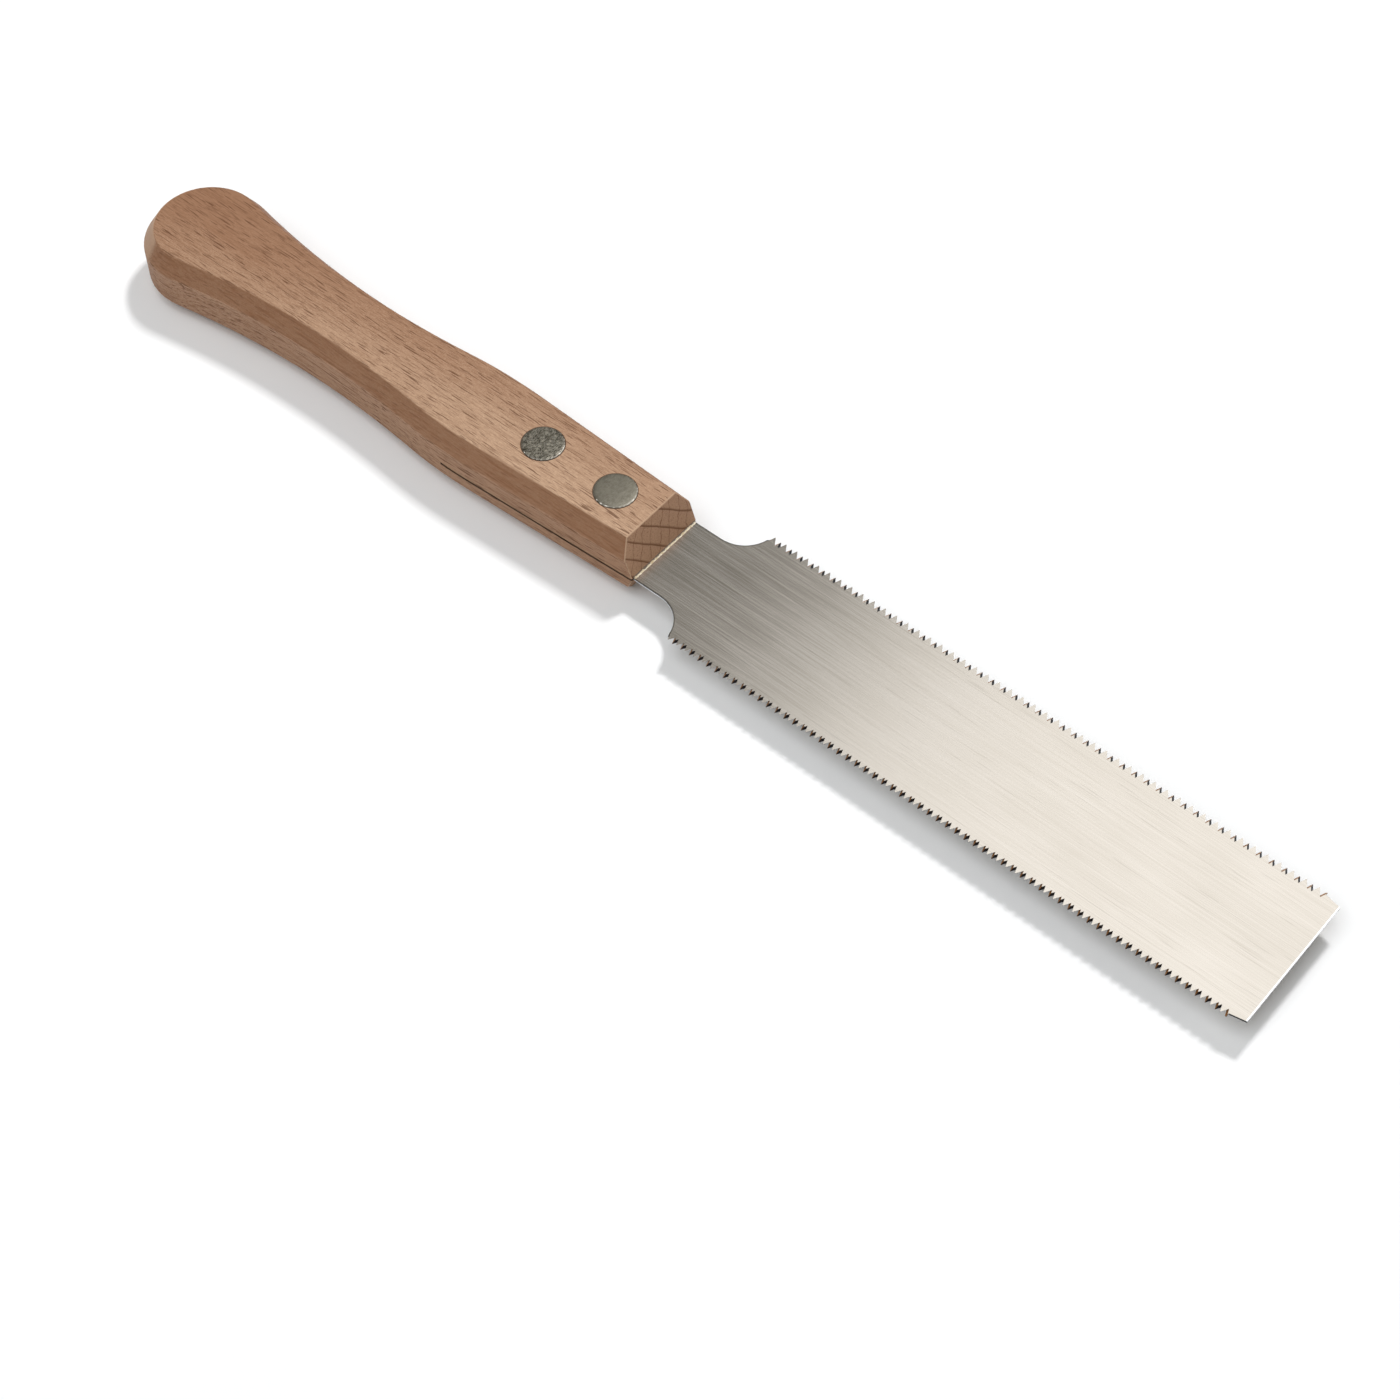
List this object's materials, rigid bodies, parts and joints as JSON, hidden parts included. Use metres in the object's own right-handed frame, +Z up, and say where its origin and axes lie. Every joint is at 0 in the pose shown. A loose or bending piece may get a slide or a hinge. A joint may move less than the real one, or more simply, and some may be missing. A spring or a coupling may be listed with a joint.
{
  "type": "flush-cutting hand saw",
  "caption": "Hand saw with a thin parallel blade toothed on both long edges, its tang riveted and glued into a saw cut in a one-piece beech handle that lies flat.",
  "frame": {"origin": "middle of the overall length and width, at the flat underside of the handle", "axes": "+X from the butt of the handle to the tip of the blade, +Y towards the coarse-toothed edge, +Z up through the handle's thickness"},
  "size_m": [0.2944, 0.0338, 0.0153],
  "materials": {
    "beech": "planed beech, thinly oiled",
    "blade_steel": "spring steel sheet, brushed lengthwise",
    "rivet_metal": "plated steel, satin",
    "rivet_metal_worn": "plated steel, filed and scratched",
    "glue": "cured resin glue, pale cream"
  },
  "bodies": {
    "root": {"handle": "beech", "blade": "blade_steel", "rivet_pin_front": "rivet_metal", "rivet_pin_rear": "rivet_metal_worn", "rivet_socket_front": "rivet_metal", "rivet_socket_rear": "rivet_metal_worn", "glue_bead": "glue"}
  },
  "joints": []
}
